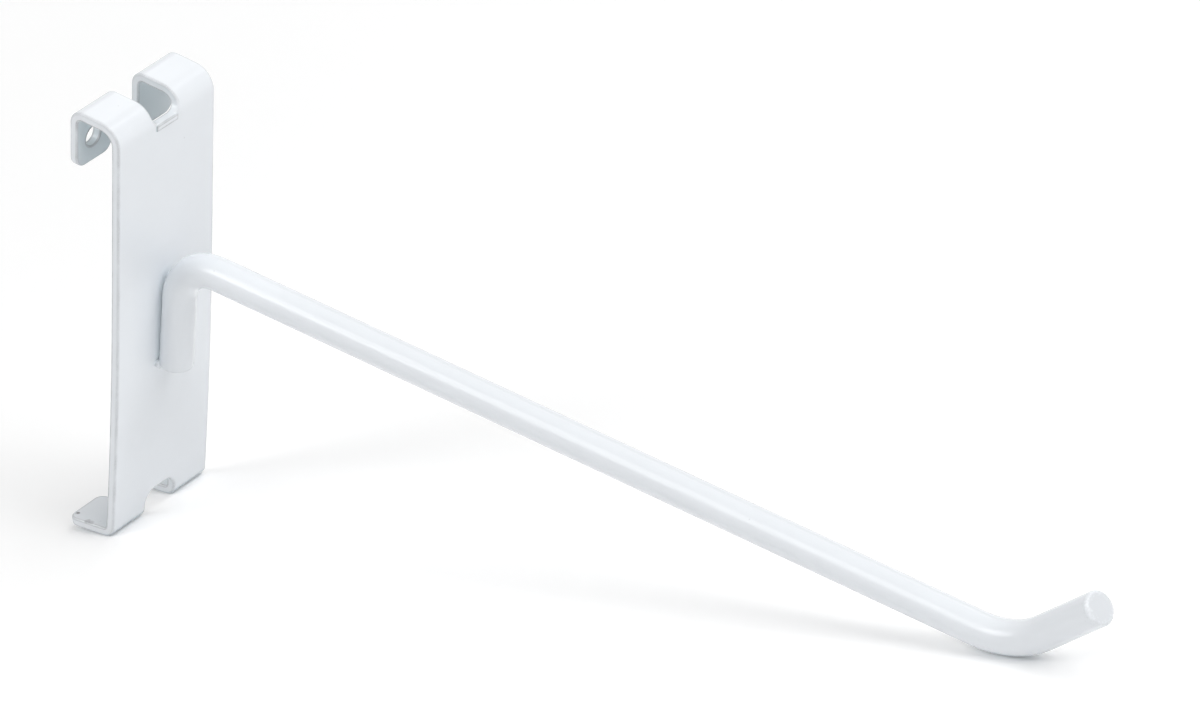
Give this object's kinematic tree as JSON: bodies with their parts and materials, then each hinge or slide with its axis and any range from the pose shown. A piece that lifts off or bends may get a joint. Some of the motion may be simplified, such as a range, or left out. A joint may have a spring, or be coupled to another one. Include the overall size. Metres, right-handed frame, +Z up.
{
  "type": "gridwall hook",
  "caption": "Display hook for a wire grid panel: a folded plate with hooks and feet, and a welded round wire arm with an upturned tip.",
  "frame": {"origin": "where the upper grid wire seats: the underside of the two hooks, midway across the wire gap and midway across the plate's width", "axes": "+Z up as the hook hangs, +Y towards the grid behind the plate, -Y along the arm, X along the grid wire"},
  "size_m": [0.0268, 0.2163, 0.0911],
  "materials": {
    "plate_coating": "smooth gloss white powder coat on folded sheet steel",
    "wire_coating": "smooth gloss white powder coat on round steel wire",
    "weld_coating": "gloss white powder coat over small weld beads"
  },
  "bodies": {
    "root": {"back_plate": "plate_coating", "arm_wire": "wire_coating", "leg_weld": "weld_coating"}
  },
  "joints": []
}
